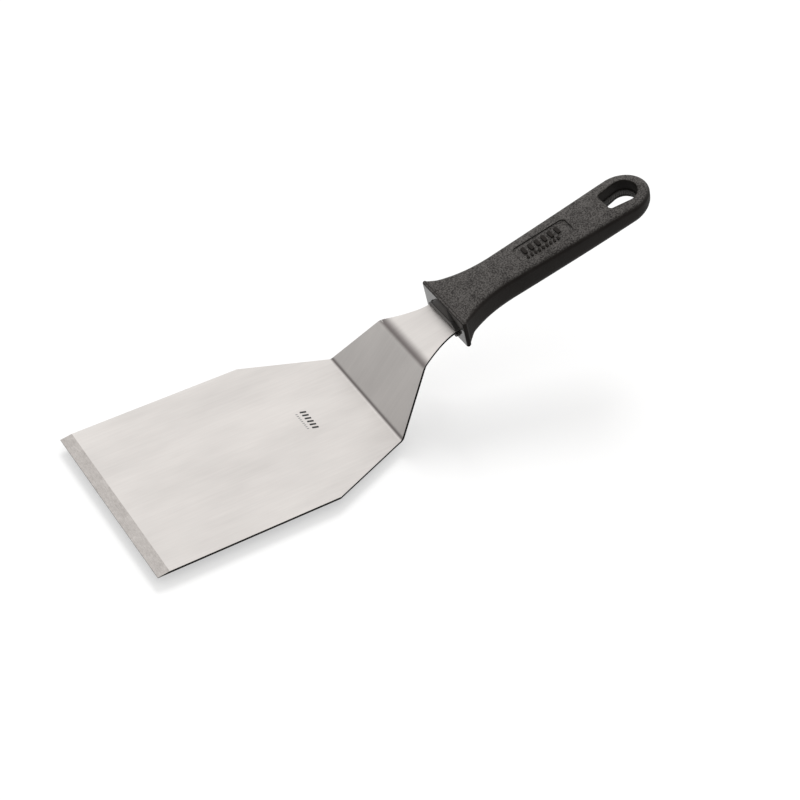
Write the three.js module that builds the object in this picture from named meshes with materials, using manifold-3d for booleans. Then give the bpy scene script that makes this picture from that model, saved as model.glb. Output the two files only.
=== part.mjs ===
// Grill spatula: one folded steel sheet whose tang is clamped inside a moulded handle.
// Millimetres. +X runs from the blade's front edge to the butt of the handle, +Z is up,
// and the blade lies flat on Z = 0. The origin is under the middle of the whole object.
import * as THREE from 'three';
import Module from 'manifold-3d';

// Sheet, given by its upper face. Lengths along X until the first fold.
const sheetThickness = 1.5;
const bladeHalfWidth = 55;
const taperStart = 105.9; // where the parallel sides end
const edgeBevel = 6.7; // length of the ground strip along the front edge
const edgeThickness = 0.4;
const firstFold = { x: 155, halfWidth: 36.3, radius: 2.2 };
const secondFold = { x: 176.5, rise: 31, halfWidth: 21.8, radius: 6 };
const neckAngle = THREE.MathUtils.degToRad(15);
const neckHalfWidth = 12.9; // where the neck enters the handle
const neckLength = 25.4; // from the second fold until its edges run parallel
const neckCurve = 1.5; // above 1 the neck's edges are hollow
const foldSteps = 6;
const neckSteps = 8;

// Handle. Its own frame starts at the second fold: X along the neck, Z out of its upper face.
const mouth = 28.4; // distance from the second fold to the handle's front face
const butt = 164.2;
const waistHalfWidth = 11.7;
const buttHalfWidth = 15.1;
const buttRound = 17; // length of the rounded end, a little more than half the width
const flare = { end: 66, extra: 9, power: 2.3, tipRadius: 1.6 };
const topProfile = [[mouth, 10.8], [66, 10.7], [115, 10.5], [145, 10.6], [butt, 10]];
const underProfile = [[mouth, -8.4], [66, -8.3], [115, -6.5], [150, -4.4], [butt, -3.6]];
const edgeRadius = { mouth: 0.8, top: 3.2, under: 7.5 };
const crown = 0.9; // how far the middle of the upper face stands above its edges
// Boss on the front face above the core: narrow at the top, wide where it meets the core.
const lip = { reach: 1.7, topReach: 0.2, halfWidth: 9.9, topHalfWidth: 5, root: 2, below: 0.3 };
const panel = { from: 78, to: 112.5, near: -5.75, far: 5.75, depth: 0.7, corner: 2.6 };

// Hang hole through the butt, in the handle's frame.
const hole = { from: 136, to: 157.2, frontHalfWidth: 6.4, halfWidth: 7.9, corner: 2 };
const holeStep = 0.7; // the inner ring stands this far into the hole

// Core that clamps the tang, and its rear arm, whose ring shows inside the hang hole.
const gap = 0.3; // between pieces that touch
const beyond = 40; // cutting tools reach this far past the handle
const collar = { front: 26.5, back: 37, halfWidth: 13.4, topHalfWidth: 10.2, top: 4.6, under: -5 };
const coreBody = { from: 46, to: 114, halfWidth: 6.9, topHalfWidth: 6.4, top: 7.2, under: -4.4 };
const arm = { under: 0.4, top: 3.4, ringWidth: 3.2, overlap: 6, narrowing: 3 };
const tang = { shoulder: 33, narrowed: 37, halfWidth: 5, end: 108 };
const pin = { radius: 2, front: 58, rear: 96, inset: 0.6, sides: 24 };

const wasm = await Module();
wasm.setup();

const steel = { color: 0xcfccc8, metalness: 1, roughness: 0.35 };
const pinSteel = { color: 0x9a9894, metalness: 1, roughness: 0.4 };
const blackGrained = { color: 0x2e2b28, metalness: 0, roughness: 0.55 };
const blackSmooth = { color: 0x24211f, metalness: 0, roughness: 0.4 };

// A closed solid from rings of the same even length, each a list of [x, y, z]. Each end is
// closed by a strip that joins the ring's first point to its last, and so on inwards.
function loft(rings) {
  const count = rings[0].length;
  const corners = rings.flat(2);
  const faces = [];
  for (let i = 0; i + 1 < rings.length; i++) {
    for (let j = 0; j < count; j++) {
      const a = i * count + j;
      const b = i * count + (j + 1) % count;
      faces.push(a, b, b + count, a, b + count, a + count);
    }
  }
  const end = (rings.length - 1) * count;
  for (let j = 0; 2 * j + 2 < count; j++) {
    const [a, b, c, d] = [j, j + 1, count - 2 - j, count - 1 - j];
    faces.push(a, c, b, a, d, c);
    faces.push(end + a, end + b, end + c, end + a, end + c, end + d);
  }
  return solid(corners, faces);
}

// Faces may all point out or all point in: rings can run either way round.
function solid(corners, faces) {
  const vertProperties = new Float32Array(corners);
  const made = triVerts => new wasm.Manifold(new wasm.Mesh({ numProp: 3, vertProperties, triVerts }));
  const asGiven = made(new Uint32Array(faces));
  return asGiven.volume() > 0 ? asGiven : made(new Uint32Array(faces).reverse());
}

// A flat outline of [x, y] points, running anticlockwise, raised from one height to another.
function prism(outline, low, high) {
  const ring = z => outline.map(([x, y]) => [x, y, z]);
  const shape = outline.map(([x, y]) => new THREE.Vector2(x, y));
  const count = outline.length;
  const faces = [];
  for (let j = 0; j < count; j++) {
    const b = (j + 1) % count;
    faces.push(j, b, b + count, j, b + count, j + count);
  }
  for (const [a, b, c] of THREE.ShapeUtils.triangulateShape(shape, [])) {
    faces.push(c, b, a, a + count, b + count, c + count);
  }
  return solid([ring(low), ring(high)].flat(2), faces);
}

function mesh(name, manifold, look) {
  const result = manifold.getMesh();
  const geometry = new THREE.BufferGeometry();
  geometry.setAttribute('position', new THREE.BufferAttribute(result.vertProperties, 3));
  geometry.setIndex(new THREE.BufferAttribute(result.triVerts, 1));
  geometry.computeVertexNormals();
  const piece = new THREE.Mesh(geometry, new THREE.MeshStandardMaterial(look));
  piece.name = name;
  return piece;
}

// A smooth height along the handle, through a few [x, height] points.
function profile(points) {
  const curve = new THREE.SplineCurve(points.map(([x, z]) => new THREE.Vector2(x, z)));
  const samples = curve.getPoints(60);
  return x => {
    const found = samples.findIndex(p => p.x >= x);
    const next = found < 0 ? samples.length - 1 : Math.max(1, found);
    const a = samples[next - 1];
    const b = samples[next];
    const t = THREE.MathUtils.clamp((x - a.x) / (b.x - a.x), 0, 1);
    return a.y + (b.y - a.y) * t;
  };
}

// ---- Blade: blade, riser, neck and tang are one sheet ----

// The upper face seen from the side, as { x, z, angle, halfWidth, thickness } stations.
function sheetStations() {
  const riserAngle = Math.atan2(secondFold.rise, secondFold.x - firstFold.x);
  const setbackOne = firstFold.radius * Math.tan(riserAngle / 2);
  const setbackTwo = secondFold.radius * Math.tan((riserAngle - neckAngle) / 2);
  const riserLength = Math.hypot(secondFold.rise, secondFold.x - firstFold.x);
  const flat = (x, halfWidth, thickness) => ({ x, z: 0, angle: 0, halfWidth, thickness });
  const { mapLinear } = THREE.MathUtils;
  const taper = x => mapLinear(x, taperStart, firstFold.x, bladeHalfWidth, firstFold.halfWidth);
  const riser = d => mapLinear(d, 0, riserLength, firstFold.halfWidth, secondFold.halfWidth);
  const stations = [
    flat(0, bladeHalfWidth, edgeThickness),
    flat(edgeBevel, bladeHalfWidth, sheetThickness),
    flat(taperStart, bladeHalfWidth, sheetThickness),
  ];
  stations[0].z = edgeThickness - sheetThickness;
  for (let i = 0; i <= foldSteps; i++) {
    const angle = riserAngle * i / foldSteps;
    const x = firstFold.x - setbackOne + firstFold.radius * Math.sin(angle);
    const z = firstFold.radius * (1 - Math.cos(angle));
    const along = setbackOne * (2 * i / foldSteps - 1);
    const halfWidth = along < 0 ? taper(firstFold.x + along) : riser(along);
    stations.push({ x, z, angle, halfWidth, thickness: sheetThickness });
  }
  const turn = riserAngle - neckAngle;
  const startX = secondFold.x - setbackTwo * Math.cos(riserAngle);
  const startZ = secondFold.rise - setbackTwo * Math.sin(riserAngle);
  for (let i = 0; i <= foldSteps; i++) {
    const angle = riserAngle - turn * i / foldSteps;
    const x = startX + secondFold.radius * (Math.sin(riserAngle) - Math.sin(angle));
    const z = startZ + secondFold.radius * (Math.cos(angle) - Math.cos(riserAngle));
    const along = setbackTwo * (2 * i / foldSteps - 1);
    const halfWidth = along < 0 ? riser(riserLength + along) : neckEdge(along);
    stations.push({ x, z, angle, halfWidth, thickness: sheetThickness });
  }
  for (let i = 1; i <= neckSteps; i++) {
    const along = THREE.MathUtils.lerp(setbackTwo, neckLength, i / neckSteps);
    stations.push(neckStation(along, neckEdge(along)));
  }
  stations.push(neckStation(tang.shoulder, neckHalfWidth));
  stations.push(neckStation(tang.narrowed, tang.halfWidth));
  stations.push(neckStation(tang.end, tang.halfWidth));
  return stations;
}

function neckEdge(along) {
  const left = Math.max(0, 1 - along / neckLength);
  return neckHalfWidth + (secondFold.halfWidth - neckHalfWidth) * left ** neckCurve;
}

function neckStation(along, halfWidth) {
  const x = secondFold.x + along * Math.cos(neckAngle);
  const z = secondFold.rise + along * Math.sin(neckAngle);
  return { x, z, angle: neckAngle, halfWidth, thickness: sheetThickness };
}

function makeBlade() {
  const rings = sheetStations().map(({ x, z, angle, halfWidth, thickness }) => {
    const underX = x + thickness * Math.sin(angle);
    const underZ = z - thickness * Math.cos(angle);
    const upper = [[x, halfWidth, z], [x, -halfWidth, z]];
    return [...upper, [underX, -halfWidth, underZ], [underX, halfWidth, underZ]];
  });
  let sheet = loft(rings);
  for (const along of [pin.front, pin.rear]) {
    const drill = pinShape(along, pin.radius + gap, -beyond, beyond).transform(handlePlace().toArray());
    sheet = sheet.subtract(drill);
  }
  return sheet.translate([0, 0, sheetThickness]);
}

// ---- Handle ----

function handlePlace() {
  const place = new THREE.Matrix4().makeRotationY(-neckAngle);
  return place.setPosition(secondFold.x, 0, secondFold.rise);
}

const gripTop = profile(topProfile);
const gripUnder = profile(underProfile);

function gripHalfWidth(x) {
  const spread = THREE.MathUtils.mapLinear(x, flare.end, butt, waistHalfWidth, buttHalfWidth);
  const left = Math.max(0, (flare.end - x) / (flare.end - mouth));
  const along = x < flare.end ? waistHalfWidth : spread;
  return along + flare.extra * left ** flare.power;
}

// One side of the grip seen from above: points from the mouth, round the tip, to the butt.
function gripOutline() {
  const points = [];
  const tipWidth = gripHalfWidth(mouth) - flare.tipRadius;
  const tipSteps = 4;
  for (let i = 0; i <= tipSteps; i++) {
    const a = Math.PI * 0.62 * i / tipSteps;
    const x = mouth + flare.tipRadius * (1 - Math.cos(a));
    points.push({ x, y: tipWidth - 0.4 + flare.tipRadius * Math.sin(a) });
  }
  const arcCentre = butt - buttRound;
  const sideSteps = 22;
  for (let i = 1; i <= sideSteps; i++) {
    const x = THREE.MathUtils.lerp(mouth + 2.4, arcCentre, (i / sideSteps) ** 1.25);
    points.push({ x, y: gripHalfWidth(x) });
  }
  const arcRadius = gripHalfWidth(arcCentre);
  const arcSteps = 9;
  for (let i = 1; i <= arcSteps; i++) {
    const a = Math.PI / 2 * i / arcSteps;
    points.push({ x: arcCentre + buttRound * Math.sin(a), y: arcRadius * Math.cos(a) });
  }
  return points.map((p, i) => {
    const before = points[Math.max(0, i - 1)];
    const after = points[Math.min(points.length - 1, i + 1)];
    const length = Math.hypot(after.x - before.x, after.y - before.y);
    let out = [(before.y - after.y) / length, (after.x - before.x) / length];
    if (i === 0) out = [-1, 0];
    if (i === points.length - 1) out = [1, 0];
    return { ...p, out, round: Math.min(1, (p.x - mouth) / 8) };
  });
}

// Levels run from the under face round the edge, up the side, and round onto the upper face.
function gripLevels() {
  const steps = 4;
  const levels = [];
  for (let i = 0; i <= steps; i++) {
    const a = Math.PI / 2 * i / steps;
    levels.push({ inset: 1 - Math.sin(a), rise: 1 - Math.cos(a), upper: false });
  }
  for (let i = 0; i <= steps; i++) {
    const a = Math.PI / 2 * i / steps;
    levels.push({ inset: 1 - Math.cos(a), rise: 1 - Math.sin(a), upper: true });
  }
  return levels;
}

function gripPoint(point, level) {
  const full = level.upper ? edgeRadius.top : edgeRadius.under;
  const radius = THREE.MathUtils.lerp(edgeRadius.mouth, full, point.round);
  const x = point.x - point.out[0] * radius * level.inset;
  const y = point.y - point.out[1] * radius * level.inset;
  const z = level.upper ? gripTop(x) - radius * level.rise : gripUnder(x) + radius * level.rise;
  return [x, Math.max(y, 0.2), z];
}

// The outer body of the grip: one ring across the handle for each point of the outline.
function gripBody() {
  const levels = gripLevels();
  const rings = gripOutline().map(point => {
    const side = levels.map(level => gripPoint(point, level));
    const [edgeX, edgeY, edgeZ] = side.at(-1);
    const across = [0.6, 0.2, -0.2, -0.6].map(t => {
      return [edgeX, edgeY * t, edgeZ + crown * point.round * (1 - t * t)];
    });
    const mirrored = side.map(([x, y, z]) => [x, -y, z]).reverse();
    return [...side, ...across, ...mirrored];
  });
  return loft(rings);
}

// The boss above the core: its front leans forward from the upper face down to the core.
function gripLip() {
  const high = gripTop(mouth) - lip.below;
  const section = (lowX, highX) => [
    [lowX, lip.halfWidth, collar.top],
    [highX, lip.topHalfWidth, high],
    [highX, -lip.topHalfWidth, high],
    [lowX, -lip.halfWidth, collar.top],
  ];
  const back = mouth + lip.root;
  return loft([section(mouth - lip.reach, mouth - lip.topReach), section(back, back)]);
}

// Outline of the hang hole: square at the front, widening to half a circle at the butt.
function holeOutline(inset) {
  const halfWidth = hole.halfWidth - inset;
  const frontHalfWidth = hole.frontHalfWidth - inset;
  const front = hole.from + inset;
  const centre = hole.to - hole.halfWidth;
  const corner = hole.corner - inset;
  const widening = Math.asin((halfWidth - frontHalfWidth) / (centre - front));
  const quarter = Math.PI / 2;
  const points = [];
  const arc = (cx, cy, radius, from, to, steps) => {
    for (let i = 0; i <= steps; i++) {
      const a = THREE.MathUtils.lerp(from, to, i / steps);
      points.push([cx + radius * Math.cos(a), cy + radius * Math.sin(a)]);
    }
  };
  arc(centre, 0, halfWidth, -quarter - widening, quarter + widening, 20);
  arc(front + corner, frontHalfWidth - corner, corner, quarter + widening, 2 * quarter, 4);
  arc(front + corner, corner - frontHalfWidth, corner, 2 * quarter, 3 * quarter - widening, 4);
  return points;
}

function roundedPanel() {
  const { from, to, near, far, corner } = panel;
  const points = [];
  const centres = [
    [to - corner, far - corner], [from + corner, far - corner],
    [from + corner, near + corner], [to - corner, near + corner],
  ];
  for (const [quarter, [cx, cy]] of centres.entries()) {
    for (let i = 0; i <= 4; i++) {
      const a = Math.PI / 2 * (quarter + i / 4);
      points.push([cx + corner * Math.cos(a), cy + corner * Math.sin(a)]);
    }
  }
  return points;
}

function makeGrip(coreRoom) {
  const middle = (panel.from + panel.to) / 2;
  const floor = gripTop(middle) + crown - panel.depth;
  const recess = prism(roundedPanel(), floor, beyond);
  return gripBody()
    .add(gripLip())
    .subtract(coreRoom)
    .subtract(prism(holeOutline(0), -beyond, beyond))
    .subtract(recess);
}

// ---- Core ----

// Full width up to the sheet, then sloping in to a narrower top.
function coreSection(x, { halfWidth, topHalfWidth, top, under }, extra) {
  const wide = halfWidth + extra;
  const narrow = topHalfWidth + extra;
  const low = under - extra;
  const cut = 1.5; // chamfer of the lower edges
  const shoulder = 0.8; // height where the sides start to slope in
  const left = [[x, wide - cut, low], [x, wide, low + cut], [x, wide, shoulder], [x, narrow, top + extra]];
  return [...left, ...left.map(([, y, z]) => [x, -y, z]).reverse()];
}

function coreBlock(extra, frontExtra = 0) {
  return loft([
    coreSection(collar.front - frontExtra, collar, extra),
    coreSection(collar.back, collar, extra),
    coreSection(coreBody.from, coreBody, extra),
    coreSection(coreBody.to + extra, coreBody, extra),
  ]);
}

// The arm behind the core ends in a ring round the hang hole.
function coreArm(extra) {
  const halfWidth = hole.halfWidth - holeStep + arm.ringWidth + extra;
  const centre = hole.to - hole.halfWidth;
  const rootX = coreBody.to - arm.overlap;
  const ringX = hole.from - arm.overlap;
  const rootY = halfWidth - arm.narrowing;
  const outline = [[rootX, rootY], [rootX, -rootY], [ringX, -halfWidth]];
  const steps = 18;
  for (let i = 0; i <= steps; i++) {
    const a = Math.PI * (i / steps - 0.5);
    outline.push([centre + halfWidth * Math.cos(a), halfWidth * Math.sin(a)]);
  }
  outline.push([ringX, halfWidth]);
  return prism(outline, arm.under - extra, arm.top + extra);
}

function pinShape(along, radius, low, high) {
  const circle = [];
  for (let i = 0; i < pin.sides; i++) {
    const a = 2 * Math.PI * i / pin.sides;
    circle.push([along + radius * Math.cos(a), radius * Math.sin(a)]);
  }
  return prism(circle, low, high);
}

function box(low, high) {
  const [x, y] = [0, 1].map(i => [low[i], high[i]]);
  return prism([[x[0], y[0]], [x[1], y[0]], [x[1], y[1]], [x[0], y[1]]], low[2], high[2]);
}

// Room for the sheet between the two halves: the full neck at the collar, the tang behind it.
function sheetRoom() {
  const low = -sheetThickness - gap;
  const wide = collar.halfWidth + 2;
  const neckRoom = box([collar.front - 1, -wide, low], [tang.narrowed + 1, wide, gap]);
  const tangWidth = tang.halfWidth + gap;
  return neckRoom.add(box([tang.narrowed, -tangWidth, low], [tang.end + gap, tangWidth, gap]));
}

function makeCore() {
  const split = -sheetThickness / 2;
  let core = coreBlock(0).subtract(sheetRoom());
  for (const along of [pin.front, pin.rear]) {
    core = core.subtract(pinShape(along, pin.radius + gap, -beyond, beyond));
  }
  const above = box([0, -beyond, split + gap / 2], [butt, beyond, beyond]);
  const below = box([0, -beyond, -beyond], [butt, beyond, split - gap / 2]);
  const withArm = core.intersect(above).add(coreArm(0));
  return {
    upper: withArm.subtract(prism(holeOutline(holeStep), -beyond, beyond)),
    lower: core.intersect(below),
  };
}

function makePin(along) {
  return pinShape(along, pin.radius, coreBody.under + pin.inset, coreBody.top - pin.inset);
}

const handle = new THREE.Group();
handle.rotation.y = -neckAngle;
handle.position.set(secondFold.x, 0, secondFold.rise + sheetThickness);

const core = makeCore();
handle.add(mesh('core_upper', core.upper, blackSmooth));
handle.add(mesh('core_lower', core.lower, blackSmooth));
handle.add(mesh('tang_pin_front', makePin(pin.front), pinSteel));
handle.add(mesh('tang_pin_rear', makePin(pin.rear), pinSteel));
handle.add(mesh('grip', makeGrip(coreBlock(gap, lip.reach).add(coreArm(gap))), blackGrained));

const spatula = new THREE.Group();
spatula.add(mesh('blade', makeBlade(), steel), handle);

const extent = new THREE.Box3().setFromObject(spatula, true);
spatula.position.x = -(extent.min.x + extent.max.x) / 2;

export default spatula;
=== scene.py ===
# Grill spatula: folded sheet, moulded handle, the core that clamps the tang and its hang-hole ring.
# Sizes in the dictionaries are millimetres. Handle sizes are in the handle's own frame:
# X along the neck from the second fold, Z out of the upper face.
from math import asin, atan2, cos, hypot, pi, radians, sin, sqrt, tan

import bmesh
import bpy
import numpy as np
from mathutils import Matrix, Vector
from mathutils.bvhtree import BVHTree


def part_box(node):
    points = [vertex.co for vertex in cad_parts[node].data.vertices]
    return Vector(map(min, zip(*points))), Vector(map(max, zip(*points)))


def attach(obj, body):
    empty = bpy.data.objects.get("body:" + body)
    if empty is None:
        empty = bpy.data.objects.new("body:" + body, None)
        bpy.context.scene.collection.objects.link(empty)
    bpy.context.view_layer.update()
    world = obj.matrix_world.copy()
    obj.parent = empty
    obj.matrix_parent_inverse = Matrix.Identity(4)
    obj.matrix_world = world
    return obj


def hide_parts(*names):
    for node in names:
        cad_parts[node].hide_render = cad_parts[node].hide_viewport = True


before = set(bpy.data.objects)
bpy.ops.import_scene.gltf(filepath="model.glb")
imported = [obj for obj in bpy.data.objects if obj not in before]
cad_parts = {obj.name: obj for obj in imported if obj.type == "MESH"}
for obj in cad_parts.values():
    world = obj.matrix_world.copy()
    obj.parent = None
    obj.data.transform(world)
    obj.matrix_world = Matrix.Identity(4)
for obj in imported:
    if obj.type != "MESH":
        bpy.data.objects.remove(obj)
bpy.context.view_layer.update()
millimetre = 0.001
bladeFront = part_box("blade")[0].x / millimetre
print("frame loaded, blade front edge at", round(bladeFront, 2), "mm")


# Node trees and meshes: small helpers

number, geometry = "NodeSocketFloat", "NodeSocketGeometry"


def plug(tree, socket, value):
    if isinstance(value, bpy.types.NodeSocket):
        tree.links.new(value, socket)
    else:
        socket.default_value = value


# inputs hold values or other nodes' sockets; settings are the node's own properties
def addNode(tree, kind, inputs=None, **settings):
    node = tree.nodes.new(kind)
    for name, value in settings.items():
        setattr(node, name, value)
    for key, value in (inputs or {}).items():
        plug(tree, node.inputs[key], value)
    return node


def nodeOut(tree, kind, inputs=None, **settings):
    return addNode(tree, kind, inputs, **settings).outputs[0]


def vector(tree, x=0.0, y=0.0, z=0.0):
    return nodeOut(tree, "ShaderNodeCombineXYZ", {0: x, 1: y, 2: z})


def noise(tree, coordinates, scale, detail, roughness=0.5):
    return nodeOut(tree, "ShaderNodeTexNoise", {
        "Vector": coordinates, "Scale": scale, "Detail": detail, "Roughness": roughness})


def remap(tree, value, fromLow, fromHigh, low=0.0, high=1.0, curve="LINEAR"):
    return nodeOut(tree, "ShaderNodeMapRange", {
        "Value": value, "From Min": fromLow, "From Max": fromHigh, "To Min": low, "To Max": high,
    }, interpolation_type=curve)


def calc(tree, operation, *values):
    node = addNode(tree, "ShaderNodeMath", operation=operation)
    for socket, value in zip(node.inputs, values):
        plug(tree, socket, value)
    return node.outputs[0]


def newGroup(name, kind, inputs, outputs):
    group = bpy.data.node_groups.new(name, kind)
    for label, socketType, default in inputs:
        socket = group.interface.new_socket(label, in_out="INPUT", socket_type=socketType)
        if default is not None:
            socket.default_value = default
    for label, socketType in outputs:
        group.interface.new_socket(label, in_out="OUTPUT", socket_type=socketType)
    source = group.nodes.new("NodeGroupInput").outputs
    target = group.nodes.new("NodeGroupOutput").inputs
    return group, source, target


def useGroup(tree, group, inputs):
    kind = "GeometryNodeGroup" if group.bl_idname == "GeometryNodeTree" else "ShaderNodeGroup"
    node = tree.nodes.new(kind)
    node.node_tree = group
    for key, value in inputs.items():
        plug(tree, node.inputs[key], value)
    return node.outputs


def newObject(name, mesh):
    piece = bpy.data.objects.new(name, mesh)
    bpy.context.scene.collection.objects.link(piece)
    return piece


# what the modifiers make becomes the piece's own mesh
def settle(piece):
    evaluated = piece.evaluated_get(bpy.context.evaluated_depsgraph_get())
    mesh = bpy.data.meshes.new_from_object(evaluated)
    piece.modifiers.clear()
    piece.data = mesh


# runs a geometry tree on an empty mesh, with its named inputs set by identifier
def growMesh(name, tree, values):
    piece = newObject(name, bpy.data.meshes.new(name))
    modifier = piece.modifiers.new("grow", "NODES")
    modifier.node_group = tree
    for item in tree.interface.items_tree:
        if item.item_type == "SOCKET" and item.in_out == "INPUT" and item.name in values:
            modifier[item.identifier] = values[item.name]
    settle(piece)
    return piece


def combine(piece, tool, operation):
    modifier = piece.modifiers.new("combine", "BOOLEAN")
    modifier.operation = operation
    modifier.solver = "EXACT"
    modifier.object = tool
    settle(piece)
    bpy.data.objects.remove(tool)


def toMesh(shape, name):
    mesh = bpy.data.meshes.new(name)
    shape.to_mesh(mesh)
    shape.free()
    return mesh


# a closed solid through rings of equal length: its ends are flat and can be any outline,
# or, with strips, they are strips across rings of even length
def stack(name, rings, strips=False):
    shape = bmesh.new()
    rows = [[shape.verts.new(point) for point in ring] for ring in rings]
    count = len(rows[0])
    for near, far in zip(rows, rows[1:]):
        for j in range(count):
            k = (j + 1) % count
            shape.faces.new((near[j], near[k], far[k], far[j]))
    for row in (rows[0], rows[-1]):
        if strips:
            for j in range(count // 2 - 1):
                shape.faces.new((row[j], row[j + 1], row[count - 2 - j], row[count - 1 - j]))
        else:
            shape.faces.new(row)
    if strips:
        bmesh.ops.remove_doubles(shape, verts=shape.verts, dist=0.001)
    bmesh.ops.recalc_face_normals(shape, faces=shape.faces)
    return newObject(name, toMesh(shape, name))


def prism(name, outline, low, high):
    return stack(name, [[(x, y, z) for x, y in outline] for z in (low, high)])


def between(low, high, share):
    return low + (high - low) * share


def arc(centreX, centreY, radius, start, end, steps):
    turns = [between(start, end, i / steps) for i in range(steps + 1)]
    return [(centreX + radius * cos(a), centreY + radius * sin(a)) for a in turns]


def smoothShare(value, low, high):
    share = min(1, max(0, (value - low) / (high - low)))
    return share * share * (3 - 2 * share)


# Sheet: one blank, folded twice

sheet = {
    "thickness": 1.5,
    "bladeHalfWidth": 55,
    "taperStart": 105.9,
    "groundLength": 6.7,      # the ground strip along the front edge
    "edgeThickness": 0.4,
    "firstFold": 155,         # where the faces of the fold would meet
    "firstRadius": 2.2,
    "firstHalfWidth": 36.3,
    "foldRun": 21.5,          # from the first fold to the second, along and up
    "foldRise": 31,
    "secondRadius": 6,
    "secondHalfWidth": 21.8,
    "neckAngle": radians(15),
    "neckLength": 25.4,       # second fold to the handle
    "neckHalfWidth": 12.9,
    "neckCurve": 1.5,
    "shoulder": 33,           # the tang starts here and is narrow from "narrowed" on
    "narrowed": 37,
    "tangHalfWidth": 5,
    "tangEnd": 108,
    "pinHoles": (58, 96),
    "pinHoleRadius": 2.3,
    "stepsAlong": 560,
    "stepsAcross": 14,
    "cutEdgeBevel": 0.13,
    "firstBand": (-0.7, 0.6, 2.4),   # painted dark reflection along each fold: start, darkest and end
    "secondBand": (-2.2, 0.6, 6.5),
}


# rolls everything beyond Start round a cylinder across the sheet; Direction is 1 up, -1 down
def makeBendGroup():
    inputs = [("Geometry", geometry, None), ("Start", number, 0.0)]
    inputs += [(name, number, 1.0) for name in ("Radius", "Angle", "Direction")]
    group, source, target = newGroup("bendSheet", "GeometryNodeTree", inputs, [("Geometry", geometry)])
    group.is_modifier = False
    place = nodeOut(group, "GeometryNodeInputPosition")
    x, y, z = addNode(group, "ShaderNodeSeparateXYZ", {0: place}).outputs
    past = calc(group, "MAXIMUM", calc(group, "SUBTRACT", x, source["Start"]), 0.0)
    inArc = calc(group, "MINIMUM", past, calc(group, "MULTIPLY", source["Radius"], source["Angle"]))
    turned = calc(group, "DIVIDE", inArc, source["Radius"])
    rest = calc(group, "SUBTRACT", past, inArc)
    sine, cosine = calc(group, "SINE", turned), calc(group, "COSINE", turned)
    reach = calc(group, "SUBTRACT", source["Radius"], calc(group, "MULTIPLY", source["Direction"], z))
    along = calc(group, "MULTIPLY_ADD", reach, sine, calc(group, "MINIMUM", x, source["Start"]))
    newX = calc(group, "MULTIPLY_ADD", rest, cosine, along)
    lift = calc(group, "SUBTRACT", source["Radius"], calc(group, "MULTIPLY", reach, cosine))
    newZ = calc(group, "MULTIPLY", calc(group, "MULTIPLY_ADD", rest, sine, lift), source["Direction"])
    moved = vector(group, newX, y, newZ)
    bent = addNode(group, "GeometryNodeSetPosition", {"Geometry": source["Geometry"], "Position": moved})
    group.links.new(bent.outputs[0], target["Geometry"])
    return group


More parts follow.
